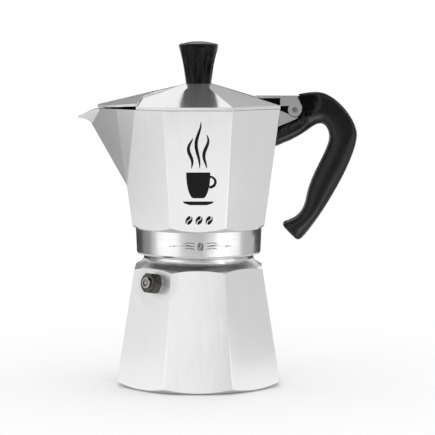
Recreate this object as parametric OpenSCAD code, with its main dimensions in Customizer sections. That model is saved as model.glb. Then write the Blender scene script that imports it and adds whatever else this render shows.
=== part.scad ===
// Stovetop moka pot, six-cup size: an eight-sided boiler, a coffee funnel and an
// eight-sided collector that screws onto the boiler, with a hinged lid and a handle.
// Millimetres. +Z is up. The origin is the centre of the boiler's resting face.
// The spout points along -X and the handle along +X; flat sides face +-X and +-Y.

/* [Boiler] */
// Width across the boiler's flat sides, at the level of the table
foot_flats = 103.2; // [98:0.2:108]
// Lean of the boiler's sides, in degrees from upright
boiler_lean = 8.71; // [8.5:0.01:9]
// Height at which the boiler's side edges end and the turned shoulder begins
boiler_edge_z = 74.0; // [72:0.5:75]
// Radius of the turned neck, at the root of its thread
neck_r = 34.8; // [34.6:0.1:35]
// Height of the top of the neck
neck_top_z = 95; // [94.5:0.1:95.2]
// Radius of the boiler's mouth
mouth_r = 31.2; // [31:0.1:31.5]

/* [Thread] */
// Rise of the screwed joint for one turn
pitch = 4; // [4:0.1:4.2]

/* [Collector] */
// Height of the underside of the collar
collar_z = 82.95; // [82:0.1:84]
// Height of the top of the collar, where the sides flare out
collar_top_z = 99.3; // [99:0.1:100]
// Width across the collector's flat sides, at the top of the collar
collar_flats = 81.9; // [81:0.1:82.5]
// Lean of the collector's sides, in degrees from upright
collector_lean = 7.55; // [7.4:0.05:7.7]
// Height of the collector's rim
rim_z = 174.9; // [174:0.1:176]
// Thickness of the collector's wall
wall = 2.6; // [2.2:0.1:3]
// Height of the inside floor
floor_z = 104.2; // [104:0.1:105]

/* [Spout] */
// Height of the foot of the spout
spout_foot_z = 127; // [122:1:132]
// Reach of the spout's keel at the rim, from the axis
spout_reach = 69.5; // [68:0.5:71]

/* [Lid] */
// Thickness of the cast lid
lid_wall = 2.1; // [1.8:0.1:2.3]
// Height of the lid's flat top, under the knob
lid_top_z = 190.4; // [190:0.1:191]
// Distance of the hinge pin from the axis
hinge_x = 60.7; // [60.5:0.1:61]
// Height of the hinge pin
hinge_z = 173.9; // [173.8:0.1:174.2]
// Width of the hinge tongue
tongue_w = 10.4; // [9.6:0.2:10.4]

/* [Handle and knob] */
// Thickness of the handle
handle_w = 15.5; // [15:0.5:17]
// Height of the knob above the lid
knob_h = 26.6; // [24:0.2:28]

/* [Safety valve] */
// Height of the valve's axis where it leaves the boiler
valve_z = 67; // [66:0.5:67.5]
// Sideways offset of the valve on its flat side
valve_shift = 4; // [0:0.5:5]

/* [Hidden] */

$fn = 96;
aluminium = [0.83, 0.83, 0.82];
dark_resin = [0.09, 0.09, 0.09];
nickel = [0.62, 0.60, 0.56];
steel = [0.72, 0.72, 0.73];
rubber_white = [0.88, 0.87, 0.84];

// Boiler: the sides' distance from the axis falls by this much per unit of height
boiler_slope = tan(boiler_lean);
function boiler_flat(z) = foot_flats / 2 - boiler_slope * z;
foot_r = 48.6;
boiler_floor = 3.2;
shoulder_z = 80.4;

// Collector: the sides' distance from the axis at height z
collector_slope = tan(collector_lean);
function collector_flat(z) = collar_flats / 2 + collector_slope * (z - collar_top_z);
collar_r = 39.3;
collar_top_r = 39.9;
spout_wall = wall - 0.4;
function unit(v) = v / norm(v);
// Spout: each side plane runs through its foot, its meeting with the rim and the tip
spout_foot = [-collector_flat(spout_foot_z), -collector_flat(spout_foot_z) * tan(22.5), spout_foot_z];
mouth_y = -33;
spout_mouth = [-(collector_flat(rim_z) / cos(45) + mouth_y), mouth_y, rim_z];
spout_tip = [-spout_reach, 0, rim_z];
spout_keel = [-spout_reach + 1.5, 0, rim_z - 9];
side_out = unit(cross(spout_mouth - spout_foot, spout_tip - spout_mouth));
edge_out = unit(cross(spout_mouth - spout_foot, side_out));
under_out = unit([spout_foot[2] - spout_keel[2], 0, spout_keel[0] - spout_foot[0]]);
// Lip: its two lower sides start at its keel; its wall is thinner at the sides
lip_keel = [-66.4, 0, 164.2];
lip_out = unit([-0.15, -0.8, -0.58]);
lip_reach = 76.2;
lip_half = 1.6;
lip_wall = 1.6;
lip_side_wall = 0.6;
lip_floor = 1.8;
bore_r = neck_r + 2.2;
seat_z = 96.2;
seat_r = 34.6;
gasket_r = 27;
plate_z = 99.2;
roof_z = 100;
dome_r = 25;
dome_z = 101.5;

// Thread: the neck's ridge and the collar's ridge keep one gap all round
thread_depth = 1.1;
thread_gap = 0.45;
neck_core_r = neck_r - 0.4;
neck_thread_z = [collar_z - 0.3, neck_top_z - 1];
collar_thread_z = [collar_z + 1, seat_z - 1.4];

// Funnel
funnel_rim_r = 34;
basket_r = 30.5;
sheet = 0.8;
basket_z = 72;
cone_z = 58;
stem_r = 3.4;
stem_bore = 2.6;
stem_z = 8;

// Column
column_r = 7.2;
column_foot_r = 5.5;
column_bore = 2.6;
column_top_z = 148;

// Valve: its axis is square to the boiler's front-left side
valve_dir = 225;
valve_flat = boiler_flat(valve_z);
hex_af = 12;
shank_r = 5;
chamber_r = 2.9;
orifice_r = 1.3;
stem_pin_r = 1.17;

// Hinge and handle
pin_r = 1.4;
cheek_in = 2.7;
lug_half = 2.4;
knuckle_r = 4.4;
knuckle_seat = 4.75;
pin_recess_r = 2;
web_half = 3.2;
tongue_z = 182.6;
tongue_under_z = 181.3;
cheek_x = 51.4;
cheek_z = 176.5;
screw_x = 54.5;
screw_r = 2;
screw_recess_r = 4;
screw_seat_z = 157;
slot_w = tongue_w + 0.8;
slot_r = 9.9;

// Lid: the facets fall by this much per unit of distance from the axis
band_z = 177;
band_flat = collector_flat(rim_z) + 0.2;
knob_flat = 8.3;
facet_slope = (lid_top_z - band_z) / (band_flat - knob_flat);
// The roof over the spout: its ridge end, its two hips and its two eaves corners
ridge_end = [-63.5, 0, 177.4];
hip = [-34.7, -14.4, 182.9];
eave = [-38.6, -33.5, 178.7];
roof_thick = 1.1;
ridge_drop = 0.4;
knob_base_r = 8.05;
knob_hole_r = 2.2;

// ---------- Shared shapes ----------

// A solid whose eight sides share one outline of half widths and heights
module eight_sided(outline) {
    both = concat(outline, [for (i = [len(outline) - 1 : -1 : 0]) [-outline[i][0], outline[i][1]]]);
    intersection_for (turn = [0, 45, 90, 135])
        rotate([0, 0, turn]) rotate([90, 0, 0])
            linear_extrude(160, center = true) polygon(both);
}

// Everything on the lower side of the plane through three points
module under_plane(a, b, c) {
    raw = cross(b - a, c - a);
    up = raw[2] < 0 ? -raw : raw;
    half_space(up / norm(up), a);
}

// Everything behind a plane with the given outward direction, through a point
module half_space(out, point, size = 260) {
    translate(point)
        rotate([0, acos(out[2]), atan2(out[1], out[0])])
            translate([-size / 2, -size / 2, -size]) cube(size);
}

// A ring with a rounded right-hand thread on one side: depth is above 0 on an outside
// thread and below 0 on an inside one, and back is the radius of the ring's plain side
module thread_ring(low, high, base, depth, back) {
    columns = 40;
    rows = 20;
    loop = rows + 3;
    points = [for (j = [0 : columns - 1]) let (a = 360 * j / columns) each concat(
        [for (i = [0 : rows]) let (
            z = low + (high - low) * i / rows,
            fade = min(1, min(z - low, high - z) / 1.5),
            wave = 0.5 + 0.5 * sign(depth) * cos(360 * z / pitch - a),
            r = base + depth * fade * wave) [r * cos(a), r * sin(a), z]],
        [[back * cos(a), back * sin(a), high], [back * cos(a), back * sin(a), low]])];
    quads = [for (j = [0 : columns - 1]) for (k = [0 : loop - 1])
        let (n = (j + 1) % columns, m = (k + 1) % loop)
        [j * loop + k, n * loop + k, n * loop + m, j * loop + m]];
    polyhedron(points, [for (q = quads) each depth > 0
        ? [[q[0], q[2], q[1]], [q[0], q[3], q[2]]]
        : [[q[0], q[1], q[2]], [q[0], q[2], q[3]]]]);
}

// Round holes in rings, with the spacing kept even
module ring_holes(radius, rings, gap, depth) {
    cylinder(h = depth, r = radius, center = true, $fn = 24);
    for (ring = [1 : rings]) {
        count = 6 * ring;
        for (i = [0 : count - 1])
            rotate([0, 0, 360 * i / count + 7 * ring]) translate([ring * gap, 0, 0])
                cylinder(h = depth, r = radius, center = true, $fn = 24);
    }
}

// Points along a cubic curve, without its last point
function curve(a, b, c, d, n = 8) = [for (i = [0 : n - 1]) let (t = i / n, s = 1 - t)
    s * s * s * a + 3 * s * s * t * b + 3 * s * t * t * c + t * t * t * d];

// ---------- Boiler ----------

module boiler() color(aluminium) {
    difference() {
        union() {
            intersection() {
                eight_sided([[boiler_flat(0), 0], [boiler_flat(shoulder_z), shoulder_z],
                    [boiler_flat(shoulder_z), shoulder_z + 3]]);
                rotate_extrude() polygon(concat(
                    [[0, 0], [foot_r, 0], [51.3, 1.2], [55.2, 3.6], [60, 8], [60, 64]],
                    curve([43.6, boiler_edge_z], [40, 76], [35.4, 77.6], [neck_r, shoulder_z], 10),
                    [[neck_r, shoulder_z], [neck_r, neck_thread_z[0] - 0.6],
                    [0, neck_thread_z[0] - 0.6]]));
            }
            translate([0, 0, shoulder_z - 4]) cylinder(h = neck_top_z - shoulder_z + 4, r = neck_core_r);
            thread_ring(neck_thread_z[0], neck_thread_z[1], neck_r, thread_depth, neck_core_r - 1.2);
        }
        rotate_extrude() polygon([[0, boiler_floor], [43.5, boiler_floor], [45.6, 4.1],
            [46.5, 6.2], [36.9, 70], [35.2, 73.4], [mouth_r, 77.5], [mouth_r, 96], [0, 96]]);
        at_valve() translate([0, 0, -12]) cylinder(h = 20, r = shank_r);
    }
}

// ---------- Safety valve, drawn along its axis from the boiler's side ----------

module at_valve() {
    rotate([0, 0, valve_dir]) translate([valve_flat, valve_shift, valve_z])
        rotate([0, 90 - boiler_lean, 0]) children();
}

module valve_washer() color(nickel) at_valve() {
    difference() {
        cylinder(h = 0.8, r = 6.2);
        translate([0, 0, -1]) cylinder(h = 3, r = shank_r);
    }
}

module valve_body() color(nickel) at_valve() {
    difference() {
        union() {
            intersection() {
                translate([0, 0, 0.8]) rotate([0, 0, 30])
                    cylinder(h = 5.8, r = hex_af / 2 / cos(30), $fn = 6);
                translate([0, 0, 0.8]) rotate_extrude()
                    polygon([[0, 0], [6.3, 0], [7, 0.5], [7, 5.2], [6.2, 5.8], [0, 5.8]]);
            }
            translate([0, 0, 5.8]) cylinder(h = 1.6, r = 5.8);
            translate([0, 0, -8]) cylinder(h = 9.8, r = shank_r);
        }
        translate([0, 0, -6]) cylinder(h = 14, r = chamber_r);
        translate([0, 0, -9]) cylinder(h = 4, r = orifice_r);
    }
}

module valve_cap() color(nickel) at_valve() {
    difference() {
        union() {
            translate([0, 0, 7.4]) rotate_extrude()
                polygon([[0, 0], [3.4, 0], [3.4, 1.3], [3.1, 1.6], [0, 1.6]]);
            translate([0, 0, 5.9]) cylinder(h = 1.5, r = chamber_r);
        }
        translate([0, 0, 5]) cylinder(h = 5, r = stem_pin_r + 0.08);
        translate([0, 0, 7.8]) cylinder(h = 3, r = 2.25);
    }
}

module valve_plunger() color(nickel) at_valve() {
    translate([0, 0, -5.4]) cylinder(h = 1.8, r = 2.6);
    translate([0, 0, -3.6]) cylinder(h = 12.2, r = stem_pin_r);
}

module valve_seal() color([0.2, 0.2, 0.2]) at_valve() {
    translate([0, 0, -6]) cylinder(h = 0.6, r = 2.3);
}

module valve_spring() color(steel) at_valve() {
    coil_r = 2.05;
    wire_r = 0.35;
    turns = 6;
    steps = 16;
    low = -3.6 + wire_r;
    high = 5.9 - wire_r;
    count = turns * steps;
    rise = (high - low) / count;
    points = [for (i = [0 : count]) let (a = 360 * i / steps) for (k = [0 : 5]) let (b = 60 * k)
        [(coil_r + wire_r * cos(b)) * cos(a), (coil_r + wire_r * cos(b)) * sin(a),
            low + rise * i + wire_r * sin(b)]];
    walls = [for (i = [0 : count - 1]) for (k = [0 : 5]) let (n = (k + 1) % 6)
        each [[6 * i + k, 6 * i + 6 + k, 6 * i + 6 + n], [6 * i + k, 6 * i + 6 + n, 6 * i + n]]];
    ends = [for (k = [1 : 4]) each [[0, k, k + 1], [6 * count, 6 * count + k + 1, 6 * count + k]]];
    polyhedron(points, concat(walls, ends));
}

// ---------- Funnel ----------

module funnel() color(aluminium) {
    rotate_extrude() polygon([[stem_bore, stem_z], [stem_r, stem_z], [stem_r, cone_z - 1],
        [basket_r, basket_z], [basket_r, neck_top_z], [funnel_rim_r, neck_top_z],
        [funnel_rim_r, seat_z], [basket_r - sheet, seat_z], [basket_r - sheet, basket_z + 0.8],
        [stem_bore, cone_z]]);
}

module funnel_screen() color(aluminium) {
    difference() {
        translate([0, 0, basket_z + 1.6]) cylinder(h = 0.8, r = basket_r - sheet);
        translate([0, 0, basket_z + 2]) ring_holes(0.8, 6, 4.4, 3);
    }
}

// ---------- Collector ----------

// The spout's two sides: everything between their planes, moved inwards by inset
module between_sides(inset) {
    intersection_for (side = [0, 1])
        mirror([0, side, 0]) half_space(side_out, spout_foot - inset * side_out);
}

// The spout's outside, or its inside when inset is the wall's thickness
module spout_block(inset, top_z) {
    intersection() {
        translate([-90, -40, spout_foot_z - 6]) cube([56, 80, top_z - spout_foot_z + 6]);
        between_sides(inset);
        half_space(under_out, spout_foot - inset * under_out);
        half_space(edge_out, spout_foot - inset * edge_out);
        mirror([0, 1, 0]) half_space(edge_out, spout_foot - inset * edge_out);
    }
}

// The pouring lip's side outline, from the keel out to the beak
module lip_outline() {
    polygon(concat(
        curve([-66, 162.6], [-68.5, 166.8], [-70.2, 168.4], [-75.3, 168.8]),
        [[-75.3, 168.8], [-76, 169.4], [-76, rim_z], [-60, rim_z], [-60, 162.6]]));
}

// What is cut away above the lip, so that its rim droops to the beak
module above_lip() {
    rotate([90, 0, 0]) linear_extrude(30, center = true) polygon(concat(
        [[-90, 170]],
        curve([-75.6, 170], [-71.4, 171.6], [-68.4, 174.4], [-63, rim_z]),
        [[-63, rim_z], [-63, rim_z + 9], [-90, rim_z + 9]]));
}

module lip_beak(inset, side_inset) {
    tip_half = lip_half - side_inset;
    intersection() {
        rotate([90, 0, 0]) linear_extrude(20, center = true) lip_outline();
        linear_extrude(200) polygon([[-60, -8.5], [inset - lip_reach, -tip_half],
            [inset - lip_reach, tip_half], [-60, 8.5]]);
        half_space(lip_out, lip_keel - side_inset * lip_out);
        mirror([0, 1, 0]) half_space(lip_out, lip_keel - side_inset * lip_out);
    }
}

module hinge_lug() {
    difference() {
        union() {
            rotate([90, 0, 0]) linear_extrude(tongue_w, center = true)
                polygon([[46, 163.5], [50, 163.5], [56.5, 165.9], [62.4, 168.5], [62.6, 170],
                    [59.4, 170], [52.2, 173.2], [46, 173.2]]);
            translate([hinge_x, 0, hinge_z]) rotate([90, 0, 0])
                cylinder(h = 2 * lug_half, r = knuckle_r - 0.3, center = true);
            rotate([90, 0, 0]) linear_extrude(2 * lug_half, center = true)
                polygon([[50, 166], [62.6, 169.2], [hinge_x, hinge_z], [57, 176.2], [50, 176.2]]);
        }
        for (side = [-1, 1]) {
            translate([hinge_x, side * (lug_half + 5), hinge_z]) rotate([90, 0, 0])
                cylinder(h = 10, r = knuckle_seat, center = true);
        }
        translate([hinge_x, 0, hinge_z]) rotate([90, 0, 0])
            cylinder(h = 30, r = pin_r, center = true);
        translate([screw_x, 0, 160]) cylinder(h = 13, r = screw_r);
    }
}

module collector() color(aluminium) {
    difference() {
        union() {
            intersection() {
                eight_sided([[collector_flat(collar_top_z - 2), collar_top_z - 2],
                    [collector_flat(rim_z), rim_z]]);
                between_sides(0);
                rotate_extrude() polygon([[0, 90], [collar_top_r - 2, collar_top_z - 1.2],
                    [collar_top_r, collar_top_z], [44.74, 102.26], [70, 118], [70, 180], [0, 180]]);
            }
            rotate_extrude() polygon([[0, collar_z], [collar_r - 1.6, collar_z],
                [collar_r - 0.6, collar_z + 0.3], [collar_r, collar_z + 1.4],
                [collar_top_r, collar_top_z], [collar_top_r, collar_top_z + 0.3],
                [0, collar_top_z + 0.3]]);
        }
        eight_sided([[collector_flat(floor_z) - wall, floor_z],
            [collector_flat(rim_z + 1) - wall, rim_z + 1]]);
        spout_block(spout_wall, rim_z + 1);
        rotate_extrude() polygon([[0, collar_z - 1], [bore_r, collar_z - 1], [bore_r, seat_z],
            [seat_r, seat_z], [seat_r, roof_z], [dome_r + 1.5, roof_z], [dome_r, dome_z],
            [0, dome_z]]);
        cylinder(h = 110, r = column_foot_r);
    }
    thread_ring(collar_thread_z[0], collar_thread_z[1], neck_r + thread_depth + thread_gap,
        -thread_depth, bore_r + 1);
    difference() {
        hinge_lug();
        eight_sided([[collector_flat(150) - wall / 2, 150],
            [collector_flat(rim_z + 5) - wall / 2, rim_z + 5]]);
    }
}

// The spout stands against the collector's sides, over the opening in its wall
module spout() color(aluminium) {
    difference() {
        union() {
            spout_block(0, rim_z);
            lip_beak(0, 0);
        }
        eight_sided([[collector_flat(collar_top_z), collar_top_z],
            [collector_flat(rim_z + 1), rim_z + 1]]);
        spout_block(spout_wall, rim_z + 1);
        above_lip();
        translate([0, 0, lip_floor]) lip_beak(lip_wall, lip_side_wall);
    }
}

module column() color(aluminium) {
    difference() {
        rotate_extrude() polygon([[0, dome_z], [column_foot_r, dome_z],
            [column_foot_r, floor_z], [column_r + 2, floor_z], [column_r + 2, floor_z + 1],
            [column_r, floor_z + 3], [5.4, column_top_z - 10], [5.4, column_top_z - 2],
            [4.6, column_top_z - 0.4], [3, column_top_z], [0, column_top_z]]);
        translate([0, 0, dome_z - 1]) cylinder(h = column_top_z - dome_z - 1.5, r = column_bore);
        translate([0, 0, column_top_z - 6]) rotate([90, 0, 0])
            cylinder(h = 20, r = 2.2, center = true);
    }
}

module filter_plate() color(aluminium) {
    difference() {
        translate([0, 0, plate_z]) cylinder(h = roof_z - plate_z, r = seat_r - 0.8);
        translate([0, 0, plate_z]) ring_holes(0.7, 5, 4.2, 3);
    }
}

module gasket() color(rubber_white) {
    rotate_extrude() polygon([[gasket_r, seat_z], [seat_r, seat_z], [seat_r, plate_z],
        [gasket_r, plate_z]]);
}

module hinge_pin() color(steel) {
    translate([hinge_x, 0, hinge_z]) rotate([90, 0, 0])
        cylinder(h = tongue_w + 0.4, r = pin_r - 0.05, center = true);
}

// ---------- Handle ----------

module handle_outline() {
    polygon(concat(
        curve([61.8, 183.4], [70.7, 184.9], [74.5, 185.7], [79.5, 184.2], 6),
        curve([79.5, 184.2], [90, 180.5], [100.1, 166], [100.1, 158]),
        curve([100.1, 158], [100.1, 142.8], [76.7, 104.5], [66, 93.2], 12),
        curve([66, 93.2], [64.2, 91.2], [62.4, 91.2], [60.2, 93.2], 5),
        curve([60.2, 93.2], [57, 96.6], [54.6, 98.6], [53.8, 100.2], 4),
        curve([53.8, 100.2], [53, 102], [53.8, 103], [55.2, 103.4], 4),
        curve([55.2, 103.4], [64, 105.8], [66.8, 110.9], [68.2, 118.7]),
        curve([68.2, 118.7], [71, 134], [82.6, 148.2], [82.6, 156.8], 10),
        curve([82.6, 156.8], [82.6, 159.7], [80.8, 165.1], [77.1, 165.1], 6),
        curve([77.1, 165.1], [70.8, 165.1], [69.4, 157.6], [47, 150.2], 10),
        [[47, 162.4], [50, 163.5], [56.5, 165.9], [62.4, 168.5], [62.6, 170]],
        curve([62.9, 171.2], [66, 173], [66.4, 179], [63.9, 182.1], 6),
        [[62.2, 182.9]]));
}

module handle() color(dark_resin) {
    difference() {
        rotate([90, 0, 0]) linear_extrude(handle_w, center = true) handle_outline();
        eight_sided([[collector_flat(140), 140], [collector_flat(rim_z), rim_z]]);
        // The slot that the lid's tongue swings into
        translate([40, -slot_w / 2, hinge_z]) cube([hinge_x + slot_r - 40, slot_w, 30]);
        translate([hinge_x, 0, hinge_z]) rotate([90, 0, 0])
            cylinder(h = slot_w, r = slot_r, center = true);
        translate([screw_x, 0, 140]) cylinder(h = 30, r = screw_r + 0.2);
        translate([screw_x, 0, screw_seat_z - 20]) cylinder(h = 20, r = screw_recess_r);
    }
}

module handle_screw() color(steel) {
    difference() {
        union() {
            translate([screw_x, 0, screw_seat_z - 2.6]) cylinder(h = 2.6, r = screw_recess_r - 0.3);
            translate([screw_x, 0, screw_seat_z]) cylinder(h = 15.5, r = screw_r);
        }
        translate([screw_x - 5, -0.6, screw_seat_z - 3]) cube([10, 1.2, 1.6]);
    }
}

// ---------- Lid ----------

module roof_top(drop) {
    translate([0, 0, -drop]) intersection() {
        under_plane([-knob_flat, 0, lid_top_z - ridge_drop], ridge_end,
            [-knob_flat, 9, lid_top_z - ridge_drop]);
        under_plane(hip, eave, ridge_end);
        mirror([0, 1, 0]) under_plane(hip, eave, ridge_end);
    }
}

// The plan of the roof over the spout; grow pushes its free edges outwards
module roof_plan(grow) {
    half = [[-9, -3.4], [hip[0], hip[1]], [eave[0], eave[1] - grow],
        [-57 - grow, -13.8 - grow], [ridge_end[0] - grow, -4 - grow]];
    polygon(concat(half, [for (i = [len(half) - 1 : -1 : 0]) [half[i][0], -half[i][1]]]));
}

module lid() color(aluminium) {
    inner_flat = band_flat - 2.7;
    difference() {
        union() {
            difference() {
                union() {
                    eight_sided([[band_flat - 0.3, rim_z], [band_flat, rim_z + 0.4],
                        [band_flat, band_z], [knob_flat, lid_top_z]]);
                    intersection() {
                        linear_extrude(220) roof_plan(0);
                        roof_top(0);
                        translate([-80, -50, rim_z + 0.5]) cube(100);
                    }
                }
                eight_sided([[inner_flat, rim_z - 1],
                    [inner_flat, band_z + facet_slope * (band_flat - inner_flat) - lid_wall],
                    [knob_flat, lid_top_z - lid_wall - 0.3]]);
                intersection() {
                    linear_extrude(220) roof_plan(2);
                    roof_top(roof_thick);
                }
            }
            translate([0, 0, lid_top_z - 3.4]) cylinder(h = 3, r = 6.4);
            hinge_tongue();
        }
        translate([0, 0, 180]) cylinder(h = 20, r = knob_hole_r);
        translate([hinge_x, 0, hinge_z]) rotate([90, 0, 0])
            cylinder(h = 30, r = pin_r, center = true);
        // Room for the collector's lug between and below the cheeks
        translate([cheek_x + 0.5, -cheek_in, 160])
            cube([30, 2 * cheek_in, tongue_under_z - 160]);
        translate([cheek_x - 1.7, -cheek_in, 160]) cube([10, 2 * cheek_in, band_z - 160]);
        for (side = [-1, 1]) {
            translate([hinge_x, side * (tongue_w / 2 + 4.6), hinge_z]) rotate([90, 0, 0])
                cylinder(h = 10, r = pin_recess_r, center = true);
        }
        translate([cheek_x - 3.2, -tongue_w / 2 - 0.3, 170]) cube([8, tongue_w + 0.6, cheek_z - 170]);
    }
}

module hinge_tongue() {
    difference() {
        union() {
            rotate([90, 0, 0]) linear_extrude(tongue_w, center = true) tongue_outline();
            // The narrow web between the tongue and the lid
            rotate([90, 0, 0]) linear_extrude(2 * web_half, center = true)
                polygon([[36, cheek_z], [cheek_x + 0.5, cheek_z],
                    [cheek_x + 0.5, tongue_z - 0.3], [36, tongue_z - 0.3]]);
        }
        eight_sided([[20, 170], [band_flat - 1, 170], [band_flat - 1, band_z],
            [knob_flat, lid_top_z - 1]]);
    }
}

module tongue_outline() {
    polygon([[36, tongue_under_z], [cheek_x, tongue_under_z], [cheek_x, cheek_z],
        [hinge_x, cheek_z], [hinge_x + knuckle_r, hinge_z], [hinge_x + knuckle_r, 179.4],
        [64.6, 181.6], [63, tongue_z], [36, tongue_z]]);
    translate([hinge_x, hinge_z]) circle(knuckle_r);
}

module knob_washer() color(steel) {
    difference() {
        translate([0, 0, lid_top_z - 4.2]) cylinder(h = 0.8, r = 5.5);
        translate([0, 0, 180]) cylinder(h = 20, r = knob_hole_r);
    }
}

module knob_screw() color(steel) {
    difference() {
        union() {
            translate([0, 0, lid_top_z - 6.6]) cylinder(h = 2.4, r = 4);
            translate([0, 0, lid_top_z - 5]) cylinder(h = 20, r = 2);
        }
        translate([-5, -0.6, lid_top_z - 7]) cube([10, 1.2, 1.6]);
    }
}

module lid_knob() color(dark_resin) {
    difference() {
        translate([0, 0, lid_top_z]) rotate_extrude() polygon(concat(
            [[0, 0]],
            curve([knob_base_r, 0], [8.9, 8], [10.6, 16], [12.1, 22]),
            curve([12.1, 22], [12.7, 23.6], [12.6, 24.6], [11.8, 24.9], 5),
            curve([11.8, 24.9], [8, 26.1], [4, knob_h], [0, knob_h], 6),
            [[0, knob_h]]));
        translate([0, 0, lid_top_z - 1]) cylinder(h = 17, r = 2);
        // Finger flutes, wider towards the top
        for (i = [0 : 7])
            rotate([0, 0, 45 * i - 98]) translate([9.7, 0, lid_top_z + 1.5]) rotate([0, 10.6, 0])
                cylinder(h = 20, r1 = 1.7, r2 = 2.9);
    }
}

boiler();
valve_body();
valve_washer();
valve_cap();
valve_spring();
valve_plunger();
valve_seal();
funnel();
funnel_screen();
collector();
spout();
column();
filter_plate();
gasket();
handle();
handle_screw();
hinge_pin();
lid();
lid_knob();
knob_screw();
knob_washer();
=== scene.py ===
import math

import bmesh
import bpy
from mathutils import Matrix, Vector


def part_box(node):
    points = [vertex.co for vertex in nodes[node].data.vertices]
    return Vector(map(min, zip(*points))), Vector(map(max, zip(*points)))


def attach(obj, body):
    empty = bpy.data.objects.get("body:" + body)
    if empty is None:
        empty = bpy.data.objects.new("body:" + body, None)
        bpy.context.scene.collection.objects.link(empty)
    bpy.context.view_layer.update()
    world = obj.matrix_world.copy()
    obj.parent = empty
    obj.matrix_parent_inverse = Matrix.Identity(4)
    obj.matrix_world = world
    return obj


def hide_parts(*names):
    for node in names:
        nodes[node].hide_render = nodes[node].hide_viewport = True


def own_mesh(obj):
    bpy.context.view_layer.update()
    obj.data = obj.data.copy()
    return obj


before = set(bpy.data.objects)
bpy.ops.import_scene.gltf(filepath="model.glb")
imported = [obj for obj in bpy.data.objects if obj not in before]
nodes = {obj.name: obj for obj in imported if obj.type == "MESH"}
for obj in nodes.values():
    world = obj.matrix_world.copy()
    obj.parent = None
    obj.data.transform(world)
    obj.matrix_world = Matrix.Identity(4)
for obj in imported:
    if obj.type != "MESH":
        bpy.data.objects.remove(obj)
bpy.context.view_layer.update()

MM = 0.001
# Shape of the collector's eight sides: lean in degrees, and where the collar ends, in millimetres
COLLECTOR_LEAN = 7.55
COLLAR_TOP = 99.3
COLLAR_HALF = 40.95
# Lean of the boiler's sides, which is the valve's too, and the heights of its turned part
BOILER_LEAN = 8.71
SHOULDER_Z = 75.6
NECK_TOP_Z = 96.0


# ---------------------------------------------------------------- node material helpers

def new_material(name):
    """An empty material, its node tree and its Principled shader."""
    mat = bpy.data.materials.new(name)
    mat.use_nodes = True
    tree = mat.node_tree
    return mat, tree, tree.nodes["Principled BSDF"]


def add(tree, kind, **settings):
    """Adds a node; a setting whose name is an input socket sets that socket's value."""
    node = tree.nodes.new(kind)
    for key, value in settings.items():
        if key in node.inputs:
            node.inputs[key].default_value = value
        else:
            setattr(node, key, value)
    return node


def link(tree, a, out, b, into):
    """Joins an output socket of node a to an input socket of node b."""
    tree.links.new(a.outputs[out], b.inputs[into])


def object_space(tree, scale=(1.0, 1.0, 1.0)):
    """The piece's own coordinates, stretched by scale."""
    coord = add(tree, "ShaderNodeTexCoord")
    mapping = add(tree, "ShaderNodeMapping", Scale=scale)
    link(tree, coord, "Object", mapping, "Vector")
    return mapping


def noise(tree, vector, scale, detail, roughness):
    """A noise texture; scale is in features per metre."""
    node = add(tree, "ShaderNodeTexNoise", Scale=scale, Detail=detail, Roughness=roughness)
    link(tree, vector, "Vector", node, "Vector")
    return node


def remap(tree, source, out, low, high, to_low, to_high):
    """Maps the range low to high of an output onto to_low to to_high."""
    node = add(tree, "ShaderNodeMapRange")
    node.inputs["From Min"].default_value = low
    node.inputs["From Max"].default_value = high
    node.inputs["To Min"].default_value = to_low
    node.inputs["To Max"].default_value = to_high
    link(tree, source, out, node, "Value")
    return node


def product(tree, first, *others):
    """The product of some nodes' first outputs."""
    for other in others:
        both = add(tree, "ShaderNodeMath", operation="MULTIPLY")
        tree.links.new(first.outputs[0], both.inputs[0])
        tree.links.new(other.outputs[0], both.inputs[1])
        first = both
    return first


def larger(tree, first, second):
    """The larger of two nodes' first outputs."""
    either = add(tree, "ShaderNodeMath", operation="MAXIMUM")
    tree.links.new(first.outputs[0], either.inputs[0])
    tree.links.new(second.outputs[0], either.inputs[1])
    return either


def uneven(tree, source, to_low, to_high):
    """The usual range of a noise node, spread from to_low to to_high."""
    return remap(tree, source, "Fac", 0.3, 0.7, to_low, to_high)


def two_tones(tree, source, tone, darker, lighter, low, high):
    """A colour between two shades of tone, as a noise node goes from low to high."""
    ramp = add(tree, "ShaderNodeValToRGB")
    for stop, position, shade in zip(ramp.color_ramp.elements, (low, high), (darker, lighter)):
        stop.position = position
        stop.color = tuple(shade * c for c in tone) + (1.0,)
    link(tree, source, "Fac", ramp, "Fac")
    return ramp.outputs["Color"]


def bump(tree, source, strength, depth, over=None):
    """A normal bumped by a noise node, on top of another node's normal."""
    node = add(tree, "ShaderNodeBump", Strength=strength, Distance=depth)
    link(tree, source, "Fac", node, "Height")
    if over is not None:
        link(tree, over, "Normal", node, "Normal")
    return node


def darken(tree, colour, mask, factor):
    """Multiplies a colour socket by factor where the mask is 1; returns the new socket."""
    mix = add(tree, "ShaderNodeMix", data_type="RGBA", blend_type="MULTIPLY")
    mix.inputs[7].default_value = (factor, factor, factor, 1.0)
    tree.links.new(mask.outputs[0], mix.inputs["Factor"])
    tree.links.new(colour, mix.inputs[6])
    return mix.outputs[2]


def turned_coordinate(tree):
    """Distance from the Z axis and height, so that a texture on it is made of rings; also the
    separate X, Y, Z and the vector from the axis."""
    coord = add(tree, "ShaderNodeTexCoord")
    split = add(tree, "ShaderNodeSeparateXYZ")
    link(tree, coord, "Object", split, "Vector")
    flat = add(tree, "ShaderNodeCombineXYZ")
    link(tree, split, "X", flat, "X")
    link(tree, split, "Y", flat, "Y")
    length = add(tree, "ShaderNodeVectorMath", operation="LENGTH")
    link(tree, flat, "Vector", length, 0)
    rings = add(tree, "ShaderNodeCombineXYZ")
    link(tree, length, "Value", rings, "X")
    link(tree, split, "Z", rings, "Z")
    return rings, split, flat


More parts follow.
